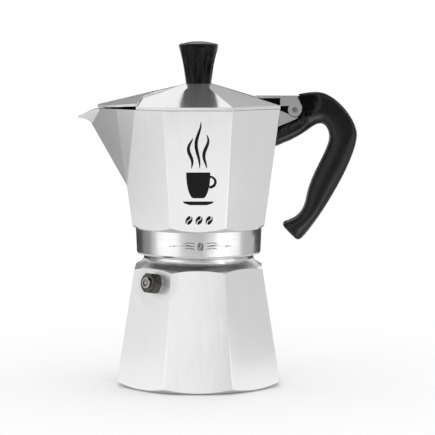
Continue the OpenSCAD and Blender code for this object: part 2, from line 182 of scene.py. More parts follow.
def rounded_edges(tree, radius):
    """A normal that rounds the piece's sharp edges."""
    return add(tree, "ShaderNodeBevel", samples=4, Radius=radius)


def inner_side(tree, flat, underside):
    """1 on surfaces that face the Z axis, and on those that face down if underside is set."""
    coord = add(tree, "ShaderNodeTexCoord")
    outward = add(tree, "ShaderNodeVectorMath", operation="NORMALIZE")
    link(tree, flat, "Vector", outward, 0)
    facing = add(tree, "ShaderNodeVectorMath", operation="DOT_PRODUCT")
    link(tree, coord, "Normal", facing, 0)
    link(tree, outward, "Vector", facing, 1)
    inner = remap(tree, facing, "Value", -0.2, -0.1, 1.0, 0.0)
    if not underside:
        return inner
    split = add(tree, "ShaderNodeSeparateXYZ")
    link(tree, coord, "Normal", split, "Vector")
    down = remap(tree, split, "Z", -0.5, -0.3, 1.0, 0.0)
    return larger(tree, inner, down)


# Half the width over which one finish gives way to another
SOFT, GAP_SOFT, TURNED_SOFT = 0.1 * MM, 0.05 * MM, 0.2 * MM


def hinge_gap_shade(tree, split, gap):
    """1 in the narrow gap of the hinge, which is painted dark as its shadow: beyond an X, near the
    middle plane, below a Z.
    """
    from_x, half_width, up_to_z = gap
    beyond = remap(tree, split, "X", from_x - SOFT, from_x + SOFT, 0.0, 1.0)
    middle = add(tree, "ShaderNodeMath", operation="ABSOLUTE")
    link(tree, split, "Y", middle, 0)
    near = remap(tree, middle, "Value", half_width - GAP_SOFT, half_width + GAP_SOFT, 1.0, 0.0)
    under = remap(tree, split, "Z", up_to_z - SOFT, up_to_z + SOFT, 1.0, 0.0)
    return product(tree, beyond, near, under)


# Share of its tone that a cast surface keeps inside, where it is matt (its darkening there partly
# painted shade), and in the hinge's gap (a painted shadow)
DULL_TONE, MATT_SHADE_TONE, GAP_SHADE_TONE = 0.6, 0.5, 0.01
# Roughness that is added on the dull surfaces, and where the polishing wheel can't reach
DULL_ROUGHER, UNPOLISHED_ROUGHER = 0.25, 0.35
# How far upright brushing is drawn out, and the roughness that the lathe leaves
BRUSH_STRETCH = 0.035
TURNED_ROUGH = (0.22, 0.28)


def polished_cast(name, tone, rough_low, rough_high, brush, turned=None, turned_shade=1.0,
                  matt_shade_x=None, gap=None, underside=False, haze=0.0, unpolished=None):
    """Polished cast aluminium: fine upright brushing, slight mottling and small dents.

    turned is (low, high): between those heights the surface is turned on a lathe, and its tone is
    darkened by turned_shade as painted shade. Beyond matt_shade_x the casting is left matt and
    rougher, and its darker tone there is partly painted shade of the recessed hinge. gap is the
    hinge's narrow gap, painted near black as a shadow. The inner sides are dull, and the underside
    where that is
    set. haze is the share of the light that the surface scatters. unpolished is (centre, radius):
    the wheel can't reach there.
    """
    mat, tree, shader = new_material(name)
    shader.inputs["Metallic"].default_value = 1.0 - haze
    plain = object_space(tree)
    brushed = object_space(tree, (1.0, 1.0, BRUSH_STRETCH))
    rings, split, flat = turned_coordinate(tree)
    dull = inner_side(tree, flat, underside)

    mottle = noise(tree, plain, 38.0, 4.0, 0.6)
    colour = two_tones(tree, mottle, tone, 0.965, 1.0, 0.25, 0.75)
    colour = darken(tree, colour, dull, DULL_TONE)
    # Beyond matt_shade_x the casting is matt and rougher; its darker tone there is partly painted
    # shade of the recessed hinge.
    if matt_shade_x:
        matt_and_shade = remap(tree, split, "X", matt_shade_x - SOFT, matt_shade_x + SOFT, 0.0, 1.0)
        colour = darken(tree, colour, matt_and_shade, MATT_SHADE_TONE)
        dull = larger(tree, matt_and_shade, dull)
    # The hinge's narrow gap is painted near black: a painted shadow.
    if gap:
        colour = darken(tree, colour, hinge_gap_shade(tree, split, gap), GAP_SHADE_TONE)
    # The turned band's tone is darkened: painted shade.
    if turned:
        low, high = turned
        above = remap(tree, split, "Z", low - TURNED_SOFT, low + TURNED_SOFT, 0.0, 1.0)
        below = remap(tree, split, "Z", high - TURNED_SOFT, high + TURNED_SOFT, 1.0, 0.0)
        mask = product(tree, above, below)
        colour = darken(tree, colour, mask, turned_shade)
    tree.links.new(colour, shader.inputs["Base Color"])

    streak = noise(tree, brushed, 420.0, 3.0, 0.55)
    rough = add(tree, "ShaderNodeMath", operation="MULTIPLY_ADD")
    tree.links.new(dull.outputs[0], rough.inputs[0])
    rough.inputs[1].default_value = DULL_ROUGHER
    link(tree, uneven(tree, streak, rough_low, rough_high), "Result", rough, 2)
    if unpolished:
        centre, radius = unpolished
        away = add(tree, "ShaderNodeVectorMath", operation="DISTANCE")
        link(tree, plain, "Vector", away, 0)
        away.inputs[1].default_value = centre
        spot = remap(tree, away, "Value", 0.6 * radius, 1.5 * radius, UNPOLISHED_ROUGHER, 0.0)
        spotted = add(tree, "ShaderNodeMath", operation="ADD")
        link(tree, spot, "Result", spotted, 0)
        link(tree, rough, "Value", spotted, 1)
        rough = spotted
    link(tree, rough, "Value", shader, "Roughness")

    edge = rounded_edges(tree, 0.35 * MM)
    grain = bump(tree, noise(tree, brushed, 2600.0, 2.0, 0.6), brush, 0.01 * MM, edge)
    dents = bump(tree, noise(tree, plain, 900.0, 2.0, 0.5), brush, 0.01 * MM, grain)
    link(tree, dents, "Normal", shader, "Normal")
    if turned:
        lathe = bump(tree, noise(tree, rings, 2400.0, 2.0, 0.6), 0.15, 0.01 * MM, edge)
        normal = add(tree, "ShaderNodeMix", data_type="VECTOR")
        link(tree, mask, "Value", normal, "Factor")
        link(tree, dents, "Normal", normal, 4)
        link(tree, lathe, "Normal", normal, 5)
        link(tree, normal, 1, shader, "Normal")
        turned_rough = uneven(tree, noise(tree, rings, 500.0, 2.0, 0.5), *TURNED_ROUGH)
        either_rough = add(tree, "ShaderNodeMix", data_type="FLOAT")
        link(tree, mask, "Value", either_rough, "Factor")
        link(tree, rough, "Value", either_rough, 2)
        link(tree, turned_rough, "Result", either_rough, 3)
        link(tree, either_rough, 0, shader, "Roughness")
    return mat


def turned_metal(name, tone, rough_low, rough_high):
    """Metal turned about the Z axis, with fine rings."""
    mat, tree, shader = new_material(name)
    shader.inputs["Metallic"].default_value = 1.0
    rings = turned_coordinate(tree)[0]
    mottle = noise(tree, object_space(tree), 90.0, 3.0, 0.6)
    tree.links.new(two_tones(tree, mottle, tone, 0.9, 1.0, 0.3, 0.7), shader.inputs["Base Color"])
    rough = uneven(tree, noise(tree, rings, 500.0, 2.0, 0.5), rough_low, rough_high)
    link(tree, rough, "Result", shader, "Roughness")
    groove = noise(tree, rings, 2400.0, 2.0, 0.6)
    lathe = bump(tree, groove, 0.4, 0.02 * MM, rounded_edges(tree, 0.25 * MM))
    link(tree, lathe, "Normal", shader, "Normal")
    return mat


def plated_metal(name, tone, rough_low, rough_high):
    """Small plated or drawn metal part: soft scratches and uneven darker stains."""
    mat, tree, shader = new_material(name)
    shader.inputs["Metallic"].default_value = 1.0
    scratches = noise(tree, object_space(tree, (1.0, 0.2, 3.0)), 1500.0, 3.0, 0.6)
    stain = noise(tree, object_space(tree), 260.0, 4.0, 0.65)
    tree.links.new(two_tones(tree, stain, tone, 0.72, 1.0, 0.3, 0.65), shader.inputs["Base Color"])
    link(tree, uneven(tree, scratches, rough_low, rough_high), "Result", shader, "Roughness")
    worn = bump(tree, scratches, 0.3, 0.02 * MM, rounded_edges(tree, 0.15 * MM))
    link(tree, worn, "Normal", shader, "Normal")
    return mat


def moulded_resin(name, tone, rough_low, rough_high, grain=0.25, shine=0.25):
    """Moulded dark resin: satin, with a fine pebbled grain and hazy wear."""
    mat, tree, shader = new_material(name)
    plain = object_space(tree)
    haze = noise(tree, plain, 60.0, 4.0, 0.6)
    tree.links.new(two_tones(tree, haze, tone, 0.8, 1.25, 0.3, 0.75), shader.inputs["Base Color"])
    link(tree, uneven(tree, haze, rough_low, rough_high), "Result", shader, "Roughness")
    shader.inputs["Specular IOR Level"].default_value = shine
    soft = bump(tree, noise(tree, plain, 170.0, 2.0, 0.5), 0.12, 0.1 * MM)
    fine = bump(tree, noise(tree, plain, 2200.0, 2.0, 0.5), grain, 0.02 * MM, soft)
    link(tree, fine, "Normal", shader, "Normal")
    return mat


def shade_where_hollow(mat):
    """The hollow of a moulding, marked on its points, shines less; this darkening is painted shade.
    """
    tree = mat.node_tree
    mark = add(tree, "ShaderNodeAttribute", attribute_name="hollow")
    shine = remap(tree, mark, "Fac", 0.0, 1.0, 0.35, 0.04)
    link(tree, shine, "Result", tree.nodes["Principled BSDF"], "Specular IOR Level")


def flat_ink(name, tone, rough):
    """Printed or etched mark: thin, slightly uneven."""
    mat, tree, shader = new_material(name)
    speck = noise(tree, object_space(tree), 1400.0, 3.0, 0.6)
    tree.links.new(two_tones(tree, speck, tone, 0.75, 1.2, 0.3, 0.7), shader.inputs["Base Color"])
    link(tree, uneven(tree, speck, rough - 0.08, rough + 0.08), "Result", shader, "Roughness")
    shader.inputs["Specular IOR Level"].default_value = 0.12
    link(tree, bump(tree, speck, 0.15, 0.02 * MM), "Normal", shader, "Normal")
    return mat


def dress(node, mat):
    """Gives a CAD node one material, in all its slots."""
    for slot in nodes[node].material_slots:
        slot.material = mat


# ---------------------------------------------------------------- heights read from the frame

collar_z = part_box("collector")[0].z
pin_low, pin_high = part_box("hinge_pin")
pin_x = (pin_low.x + pin_high.x) / 2
pin_z = (pin_low.z + pin_high.z) / 2
knob_low, knob_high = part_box("lid_knob")
washer_low, washer_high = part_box("valve_washer")
screw_low, screw_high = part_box("handle_screw")
spring_low, spring_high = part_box("valve_spring")


# ---------------------------------------------------------------- finishes

# The boiler's turned shoulder and neck are darkened as painted shade under the collar.
cast_boiler = polished_cast("cast_boiler", (0.86, 0.86, 0.86), 0.12, 0.15, 0.2,
                            turned=(SHOULDER_Z * MM, NECK_TOP_Z * MM), turned_shade=0.68,
                            unpolished=((washer_low + washer_high) / 2, 12.0 * MM))
# The turned collar is darkened as painted shade; past matt_shade_x the hinge end is darker, partly
# as painted shade, and its gap carries a painted shadow.
cast_collector = polished_cast("cast_collector", (0.86, 0.86, 0.86), 0.17, 0.21, 0.2,
                               turned=(collar_z - 1.0 * MM, (COLLAR_TOP + 0.3) * MM),
                               turned_shade=0.7, matt_shade_x=51.3 * MM,
                               gap=(49.5 * MM, 2.6 * MM, 180.0 * MM))
# The spout is the same aluminium as the collector; its darker tone is painted shade.
cast_spout_painted_shade = polished_cast("cast_spout_painted_shade", (0.66, 0.66, 0.66), 0.22, 0.26, 0.2)
# The lid's hinge end is darker, partly as painted shade, and its gap carries a painted shadow.
cast_lid = polished_cast("cast_lid", (0.82, 0.82, 0.82), 0.12, 0.15, 0.03, matt_shade_x=51.35 * MM,
                         gap=(36.0 * MM, 3.5 * MM, 182.0 * MM), underside=True, haze=0.12)
spun = turned_metal("spun_sheet", (0.76, 0.76, 0.76), 0.28, 0.4)
nickel = plated_metal("plated_valve", (0.5, 0.49, 0.47), 0.14, 0.22)
dark_nickel = plated_metal("plated_valve_body", (0.11, 0.107, 0.1), 0.1, 0.17)
steel = plated_metal("steel", (0.66, 0.66, 0.67), 0.2, 0.35)
pin_steel = plated_metal("pin_steel", (0.34, 0.34, 0.34), 0.2, 0.35)
resin = moulded_resin("dark_resin", (0.002, 0.002, 0.002), 0.24, 0.3)
# The hollow round the hinge is darkened through less shine: painted shade.
shade_where_hollow(resin)
knob_resin = moulded_resin("dark_resin_knob", (0.002, 0.002, 0.002), 0.2, 0.26, 0.08, 0.15)
rubber = moulded_resin("pale_rubber", (0.68, 0.66, 0.60), 0.5, 0.65)
seal_rubber = moulded_resin("dark_rubber", (0.03, 0.03, 0.03), 0.5, 0.65)
ink = flat_ink("black_print", (0.006, 0.006, 0.006), 0.45)
etched = flat_ink("etched_mark", (0.16, 0.16, 0.16), 0.5)

FINISH = {
    "boiler": cast_boiler, "collector": cast_collector, "spout": cast_spout_painted_shade, "lid": cast_lid,
    "column": spun, "funnel": spun, "funnel_screen": spun, "filter_plate": spun,
    "valve_body": dark_nickel, "valve_washer": nickel, "valve_cap": nickel,
    "valve_plunger": nickel,
    "valve_spring": steel, "valve_seal": seal_rubber, "gasket": rubber,
    "handle": resin, "lid_knob": knob_resin, "handle_screw": steel, "hinge_pin": pin_steel,
    "knob_screw": steel, "knob_washer": steel,
}
for node_name, finish in FINISH.items():
    dress(node_name, finish)


# ---------------------------------------------------------------- shape helpers

def cubic(a, b, c, d, n):
    """Points along a cubic curve, in the XZ plane, without its last point."""
    a, b, c, d = (Vector(p) for p in (a, b, c, d))
    steps = [i / n for i in range(n)]
    return [(1 - t) ** 3 * a + 3 * (1 - t) ** 2 * t * b + 3 * (1 - t) * t * t * c + t ** 3 * d
            for t in steps]


def lengths(chain):
    """How far along the chain each of its points is."""
    total = [0.0]
    for p, q in zip(chain, chain[1:]):
        total.append(total[-1] + (q - p).length)
    return total


def at_length(chain, total, s):
    """The point at the distance s along the chain."""
    i = 0
    while i < len(chain) - 2 and s > total[i + 1]:
        i += 1
    f = (s - total[i]) / max(1e-9, total[i + 1] - total[i])
    return chain[i].lerp(chain[i + 1], min(1.0, max(0.0, f)))


def length_near(chain, total, point):
    """How far along the chain its nearest point to this one is."""
    best = min(range(len(chain)), key=lambda i: (chain[i] - Vector(point)).length)
    return total[best]


def stations(chain, anchors, counts):
    """Points along the chain: counts[k] even steps from each anchor k to the next."""
    total = lengths(chain)
    marks = [length_near(chain, total, a) for a in anchors]
    out = []
    for k, n in enumerate(counts):
        for i in range(n):
            out.append(at_length(chain, total, marks[k] + (marks[k + 1] - marks[k]) * i / n))
    out.append(at_length(chain, total, marks[-1]))
    return out


def smoothstep(x):
    """0 below 0 and 1 above 1, with a soft rise between."""
    x = min(1.0, max(0.0, x))
    return x * x * (3 - 2 * x)


def sweep_faces(rows, around):
    """The quads between closed rows of points, each row having that many points around."""
    faces = []
    for i in range(rows - 1):
        for k in range(around):
            n = (k + 1) % around
            low, high = i * around, (i + 1) * around
            faces.append((low + k, low + n, high + n, high + k))
    return faces


def prism_faces(n):
    """The faces of a prism over n points: its first end, its last end and its sides."""
    faces = [tuple(range(n)), tuple(range(2 * n - 1, n - 1, -1))]
    faces += [(i, i + n, (i + 1) % n + n, (i + 1) % n) for i in range(n)]
    return faces


def object_from(name, verts, faces, mat, body, sharp=38.0):
    """A smooth-shaded mesh piece whose edges above an angle stay sharp."""
    mesh = bpy.data.meshes.new(name)
    mesh.from_pydata(verts, [], faces)
    mesh.validate()
    obj = bpy.data.objects.new(name, mesh)
    bpy.context.scene.collection.objects.link(obj)
    mesh.materials.append(mat)
    tidy_shading(obj, sharp)
    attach(obj, body)
    return obj


def tidy_shading(obj, sharp):
    """Joins double points, turns the faces outwards and keeps edges above an angle sharp."""
    bm = bmesh.new()
    bm.from_mesh(obj.data)
    bmesh.ops.remove_doubles(bm, verts=bm.verts, dist=1e-7)
    bmesh.ops.recalc_face_normals(bm, faces=bm.faces)
    for face in bm.faces:
        face.smooth = True
    for edge in bm.edges:
        edge.smooth = len(edge.link_faces) == 2 and edge.calc_face_angle() < math.radians(sharp)
    bm.to_mesh(obj.data)
    bm.free()


def prism(outline, y_low, y_high):
    """A closed prism over an XZ outline in millimetres, as (verts, faces) in metres."""
    verts = [(p[0] * MM, y_low * MM, p[1] * MM) for p in outline]
    verts += [(p[0] * MM, y_high * MM, p[1] * MM) for p in outline]
    return verts, prism_faces(len(outline))


def cut_away(obj, verts, faces):
    """Cuts a closed shape out of a piece and keeps the result in its mesh."""
    mesh = bpy.data.meshes.new("cutter")
    mesh.from_pydata(verts, [], faces)
    cutter = bpy.data.objects.new("cutter", mesh)
    bpy.context.scene.collection.objects.link(cutter)
    bm = bmesh.new()
    bm.from_mesh(mesh)
    bmesh.ops.recalc_face_normals(bm, faces=bm.faces)
    bm.to_mesh(mesh)
    bm.free()
    cut = obj.modifiers.new("cut", "BOOLEAN")
    cut.operation = "DIFFERENCE"
    cut.solver = "EXACT"
    cut.object = cutter
    bpy.context.view_layer.update()
    depsgraph = bpy.context.evaluated_depsgraph_get()
    result = bpy.data.meshes.new_from_object(obj.evaluated_get(depsgraph))
    obj.modifiers.remove(cut)
    obj.data = result
    bpy.data.objects.remove(cutter)


# ---------------------------------------------------------------- handle

def collector_flat(z):
    """Distance of the collector's flat sides from the axis at height z, in millimetres."""
    return COLLAR_HALF + math.tan(math.radians(COLLECTOR_LEAN)) * (z - COLLAR_TOP)


# The handle's outline, in X and Z: along its top and outside, and along its underside, both
# from the collector to the free end
upper_chain = (
    [Vector((46.0, 162.0)), Vector((50.0, 163.5)), Vector((56.5, 165.9)), Vector((62.2, 168.4))]
    + cubic((62.2, 168.4), (62.9, 168.9), (62.7, 170.2), (63.0, 171.2), 5)
    + cubic((63.0, 171.2), (66.0, 173.0), (66.4, 179.0), (63.9, 182.1), 10)
    + [Vector((63.9, 182.1)), Vector((62.2, 182.9)), Vector((61.8, 183.4))]
    + cubic((61.8, 183.4), (70.7, 184.9), (74.5, 185.7), (79.5, 184.2), 16)
    + cubic((79.5, 184.2), (90.0, 180.5), (100.1, 166.0), (100.1, 158.0), 20)
    + cubic((100.1, 158.0), (100.1, 142.8), (76.7, 104.5), (66.0, 93.2), 40)
    + cubic((66.0, 93.2), (65.0, 92.1), (64.1, 91.7), (63.1, 91.7), 6)
    + [Vector((63.1, 91.7))])
lower_chain = list(reversed(
    cubic((63.1, 91.7), (62.1, 91.7), (61.2, 92.2), (60.2, 93.2), 6)
    + cubic((60.2, 93.2), (57.0, 96.6), (54.6, 98.6), (53.8, 100.2), 10)
    + cubic((53.8, 100.2), (53.0, 102.0), (53.8, 103.0), (55.2, 103.4), 8)
    + cubic((55.2, 103.4), (64.0, 105.8), (66.8, 110.9), (68.2, 118.7), 20)
    + cubic((68.2, 118.7), (71.0, 134.0), (82.6, 148.2), (82.6, 156.8), 30)
    + cubic((82.6, 156.8), (82.6, 159.7), (80.8, 165.1), (77.1, 165.1), 12)
    + cubic((77.1, 165.1), (70.8, 165.1), (69.4, 157.6), (46.0, 149.9), 30)
    + [Vector((46.0, 149.9))]))
# Pairs of points that lie across the handle from each other, and the steps between the pairs
ANCHORS = (
    ((46.0, 162.0), (46.0, 149.9)), ((56.5, 165.9), (58.5, 154.6)), ((62.9, 170.6), (66.0, 158.6)),
    ((61.8, 183.4), (71.5, 163.2)), ((79.5, 184.2), (77.1, 165.1)), ((100.1, 158.0), (82.6, 156.8)),
    ((86.0, 121.0), (70.6, 127.5)), ((73.5, 102.3), (61.5, 105.8)), ((66.0, 93.2), (53.8, 100.2)),
    ((63.1, 91.7), (63.1, 91.7)))
COUNTS = (8, 8, 12, 14, 24, 34, 20, 10, 12)
# Edge of the hollow round the hinge, on the handle's faces
SCOOP = [Vector(p) for p in (
    (50.0, 183.3), (73.6, 183.6), (75.6, 181.0), (74.6, 176.5), (71.5, 172.4), (66.0, 169.2),
    (60.0, 166.3), (54.0, 163.2), (51.0, 160.4), (48.6, 156.0), (46.0, 150.0))]
SCOOP_EDGE = 1.6
# Share of the handle's thickness that the hollow takes
SCOOP_SHARE = 0.24
# The slot for the lid's tongue is round about the hinge pin and open at the top
SLOT_RADIUS, SLOT_HALF, SLOT_TOP = 9.9, 5.6, 200.0
# Rounding of the handle's free end: how much of its thickness goes, and how late
END_ROUND, END_POWER = 0.93, 2.4


def scoop_depth(point):
    """1 well inside the hollow round the hinge, 0 outside it, with a soft edge between."""
    best, side = 1e9, 1.0
    for a, b in zip(SCOOP, SCOOP[1:]):
        along = b - a
        t = min(1.0, max(0.0, (point - a).dot(along) / along.length_squared))
        gap = point - (a + t * along)
        if gap.length < best:
            best = gap.length
            side = 1.0 if along.x * gap.y - along.y * gap.x < 0 else -1.0
    return smoothstep(0.5 + side * best / SCOOP_EDGE)


def handle_mesh(around=56, half=7.75, power=0.72, crisp=0.22):
    """The handle as rows of rounded sections; a lower power makes a section more square."""
    upper = stations(upper_chain, [a for a, b in ANCHORS], COUNTS)
    lower = stations(lower_chain, [b for a, b in ANCHORS], COUNTS)
    # The last pair meets in a point; it stops just short, so the end closes with a small face
    upper[-1] = upper[-2].lerp(upper[-1], 0.6)
    lower[-1] = lower[-2].lerp(lower[-1], 0.6)
    verts = []
    count = len(upper)
    last = sum(COUNTS[:-1])
    # Stations up to which the top edge is nearly square, and from which it is fully round
    boxy = sum(COUNTS[:4]) + 14
    round_from = sum(COUNTS[:5]) + 10
    for i, (top, bottom) in enumerate(zip(upper, lower)):
        centre, reach = (top + bottom) / 2, (top - bottom) / 2
        end = max(0.0, (i - last) / (count - 1 - last))
        thick = half * math.sqrt(max(0.0, 1 - (END_ROUND * end) ** END_POWER))
        for k in range(around):
            a = 2 * math.pi * k / around
            c, s = math.cos(a), math.sin(a)
            e = power
            if c > 0:
                e = crisp + (power - crisp) * smoothstep((i - boxy) / (round_from - boxy))
            place = centre + reach * math.copysign(abs(c) ** e, c)
            y = thick * math.copysign(abs(s) ** e, s)
            y *= 1 - SCOOP_SHARE * scoop_depth(place)
            verts.append((place.x * MM, y * MM, place.y * MM))
    faces = sweep_faces(count, around)
    faces.append(tuple(range(around)))
    faces.append(tuple((count - 1) * around + k for k in reversed(range(around))))
    return verts, faces


handle_verts, handle_faces = handle_mesh()
handle = object_from("handle_grip", handle_verts, handle_faces, resin, "collector")
slot_outline = [(pin_x / MM + SLOT_RADIUS * math.cos(math.radians(a)),
                 pin_z / MM + SLOT_RADIUS * math.sin(math.radians(a))) for a in range(0, -181, -6)]
slot_outline += [(pin_x / MM - SLOT_RADIUS, SLOT_TOP), (pin_x / MM + SLOT_RADIUS, SLOT_TOP)]
cut_away(handle, *prism(slot_outline, -SLOT_HALF, SLOT_HALF))
screw_x = (screw_low.x + screw_high.x) / 2 / MM
round_hole = [(math.cos(math.radians(a)), math.sin(math.radians(a))) for a in range(0, 360, 9)]


def upright_hole(radius, low, high):
    """A closed cylinder on the handle screw's axis, as (verts, faces)."""
    verts = [((screw_x + radius * c) * MM, radius * s * MM, low * MM) for c, s in round_hole]
    verts += [((screw_x + radius * c) * MM, radius * s * MM, high * MM) for c, s in round_hole]
    return verts, prism_faces(len(round_hole))


screw_head_hole = upright_hole(4.0, 137.0, 157.0)
screw_shank_hole = upright_hole(2.2, 155.0, 176.0)
cut_away(handle, *screw_head_hole)
cut_away(handle, *screw_shank_hole)
# The end against the collector is cut to the collector's leaning side
bm = bmesh.new()
bm.from_mesh(handle.data)
seat_z = 160
seat = Vector((collector_flat(seat_z) * MM, 0, seat_z * MM))
lean = math.radians(COLLECTOR_LEAN)
bmesh.ops.bisect_plane(bm, geom=bm.verts[:] + bm.edges[:] + bm.faces[:], dist=1e-7, plane_co=seat,
                       plane_no=Vector((-math.cos(lean), 0, math.sin(lean))), clear_outer=True)
bmesh.ops.holes_fill(bm, edges=[e for e in bm.edges if e.is_boundary], sides=0)
bm.to_mesh(handle.data)
bm.free()
tidy_shading(handle, 38.0)
hollow = handle.data.attributes.new("hollow", "FLOAT", "POINT")
for i, vert in enumerate(handle.data.vertices):
    hollow.data[i].value = scoop_depth(Vector((vert.co.x / MM, vert.co.z / MM)))
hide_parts("handle")


# ---------------------------------------------------------------- lid knob

# The knob's flutes: how many, at which angle the first one is, where they begin above the
# knob's foot, how long and how deep they are; then the hole for the knob's screw
FLUTES, FIRST_FLUTE = 8, -98.0
FLUTE_LOW, FLUTE_LENGTH, FLUTE_DEPTH = 2.2, 20.6, 2.0
KNOB_HOLE_RADIUS, KNOB_HOLE_DEPTH = 2.0, 16.0


def knob_mesh(around=288):
    """The knob turned from its profile, with leaf-shaped flutes pressed into its side."""
    height = (knob_high.z - knob_low.z) / MM
    profile = (
        cubic((8.05, 0.0), (8.9, 8.0), (10.6, 16.0), (12.1, 22.0), 40)
        + cubic((12.1, 22.0), (12.55, 23.4), (12.5, 24.4), (11.7, 24.8), 10)
        + cubic((11.7, 24.8), (11.0, 25.2), (10.2, 25.2), (9.4, 25.35), 6)
        + cubic((9.4, 25.35), (6.4, 26.2), (3.2, height), (0.0, height), 12))
    verts = []
    base = knob_low.z / MM
    pitch = 360.0 / FLUTES
    for p in profile:
        t = (p.y - FLUTE_LOW) / FLUTE_LENGTH
        leaf = math.sin(math.pi * t ** 1.25) ** 0.75 if 0 < t < 1 else 0.0
        width = 0.6 + 2.75 * leaf
        for k in range(around):
            angle = 2 * math.pi * k / around
            turn = (math.degrees(angle) - FIRST_FLUTE + pitch / 2) % pitch - pitch / 2
            arc = math.radians(turn) * p.x
            dip = FLUTE_DEPTH * leaf * (1 - min(1.0, abs(arc) / width) ** 2)
            r = max(0.0, p.x - dip)
            verts.append((r * math.cos(angle) * MM, r * math.sin(angle) * MM, (base + p.y) * MM))
    rows = len(profile)
    faces = sweep_faces(rows, around)
    top = len(verts)
    verts.append((0.0, 0.0, (base + height) * MM))
    faces += [((rows - 1) * around + k, (rows - 1) * around + (k + 1) % around, top)
              for k in range(around)]
    # The underside closes round the screw's hole, whose blind end is inside
    prior = 0
    for depth in (0.0, KNOB_HOLE_DEPTH):
        start = len(verts)
        verts += [(KNOB_HOLE_RADIUS * math.cos(2 * math.pi * k / around) * MM,
                   KNOB_HOLE_RADIUS * math.sin(2 * math.pi * k / around) * MM,
                   (base + depth) * MM) for k in range(around)]
        faces += [(prior + k, start + k, start + (k + 1) % around, prior + (k + 1) % around)
                  for k in range(around)]
        prior = start
    faces.append(tuple(start + k for k in range(around)))
    return verts, faces


knob = object_from("knob_grip", *knob_mesh(), knob_resin, "lid", sharp=32.0)
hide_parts("lid_knob")


# ---------------------------------------------------------------- valve spring

valve_turn = math.radians(225.0)
valve_lean = math.radians(BOILER_LEAN)
valve_axis = Vector((math.cos(valve_turn) * math.cos(valve_lean),
                     math.sin(valve_turn) * math.cos(valve_lean), math.sin(valve_lean)))


def spring_mesh(centre, half_height=4.4, coil=2.05, wire=0.35, turns=6, steps=24, around=10):
    """A round wire wound about the valve's axis."""
    side = valve_axis.orthogonal().normalized()
    across = valve_axis.cross(side)
    count = turns * steps
    verts = []
    for i in range(count + 1):
        a = 2 * math.pi * i / steps
        out = side * math.cos(a) + across * math.sin(a)
        middle = centre + (coil * out + (2 * i / count - 1) * half_height * valve_axis) * MM
        for k in range(around):
            b = 2 * math.pi * k / around
            verts.append(middle + wire * MM * (math.cos(b) * out + math.sin(b) * valve_axis))
    faces = sweep_faces(count + 1, around)
    faces.append(tuple(range(around)))
    faces.append(tuple(count * around + k for k in range(around)))
    return verts, faces


spring_centre = (spring_low + spring_high) / 2
spring = object_from("relief_spring", *spring_mesh(spring_centre), steel, "boiler")
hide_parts("valve_spring")
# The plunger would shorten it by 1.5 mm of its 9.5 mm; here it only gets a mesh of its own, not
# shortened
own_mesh(spring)


# ---------------------------------------------------------------- printed and etched marks

# Clearance of the marks from their surfaces, and where they are centred, in millimetres
MARK_CLEAR = 0.01
FRONT_X, COLLAR_MARK_X, COLLAR_MARK_Z = 0.2, 1.5, 90.8


def slab(parts, place, thick):
    """Thin closed plates over flat outlines: place(u, v, lift) maps them onto a surface."""
    verts, faces = [], []
    for outline in parts:
        n = len(outline)
        start = len(verts)
        verts += [place(u, v, MARK_CLEAR) for u, v in outline]
        verts += [place(u, v, MARK_CLEAR + thick) for u, v in outline]
        faces.append(tuple(start + i for i in reversed(range(n))))
        faces.append(tuple(start + n + i for i in range(n)))
        faces += [(start + i, start + (i + 1) % n, start + n + (i + 1) % n, start + n + i)
                  for i in range(n)]
    return verts, faces


def band(line, width):
    """A band along a line of points; width(t) is its width at 0 to 1 along it."""
    left, right = [], []
    n = len(line)
    for i, p in enumerate(line):
        a, b = Vector(line[max(0, i - 1)]), Vector(line[min(n - 1, i + 1)])
        side = (b - a).normalized()
        side = Vector((-side.y, side.x)) * width(i / (n - 1)) / 2
        left.append((p[0] + side.x, p[1] + side.y))
        right.append((p[0] - side.x, p[1] - side.y))
    return left + right[::-1]


def tilted(points, cx, cz, tilt):
    """Points turned by tilt degrees and moved to a centre."""
    t = math.radians(tilt)
    return [(cx + x * math.cos(t) - z * math.sin(t), cz + x * math.sin(t) + z * math.cos(t))
            for x, z in points]


def oval(cx, cz, rx, rz, n, start=0.0, end=360.0):
    """Points on an oval, or on a part of it between two angles in degrees."""
    angles = [math.radians(start + (end - start) * i / n) for i in range(n)]
    return [(cx + rx * math.cos(a), cz + rz * math.sin(a)) for a in angles]


def bean(cx, cz, rx, rz, tilt, gap):
    """A coffee bean: an oval in two halves with a curved gap between them."""
    halves = []
    for sign in (-1, 1):
        outer = [(sign * rx * math.sin(math.pi * i / 18), -rz * math.cos(math.pi * i / 18))
                 for i in range(1, 18)]
        seam = [(sign * gap / 2 + 0.28 * rx * math.sin(2 * math.pi * i / 12),
                 rz * 0.9 - 1.8 * rz * i / 12) for i in range(13)]
        halves.append(tilted(outer + seam, cx, cz, tilt))
    return halves


def steam(x, low, high, sway, wide, phase):
    """A wavy band that sways more towards its top and tapers at both ends."""
    n = 40
    line = [(x + sway * math.sin(phase + 2.2 * math.pi * i / (n - 1)) * (0.5 + 0.5 * i / (n - 1)),
             low + (high - low) * i / (n - 1)) for i in range(n)]
    return band(line, lambda t: 0.15 + wide * math.sin(math.pi * min(1.0, max(0.0, t))) ** 0.7)


def on_front(u, v, lift):
    """A point on the collector's front side, lifted off it."""
    c, s = math.cos(lean), math.sin(lean)
    return (u * MM, -(collector_flat(v) + lift * c) * MM, (v - lift * s) * MM)


def on_collar(u, v, lift):
    """A point on the collar, which widens a little upwards; u runs round it."""
    radius = 39.3 + 0.6 * (v - 84.35) / 14.95
    a = u / radius
    return ((radius + lift) * math.sin(a) * MM, -(radius + lift) * math.cos(a) * MM, v * MM)


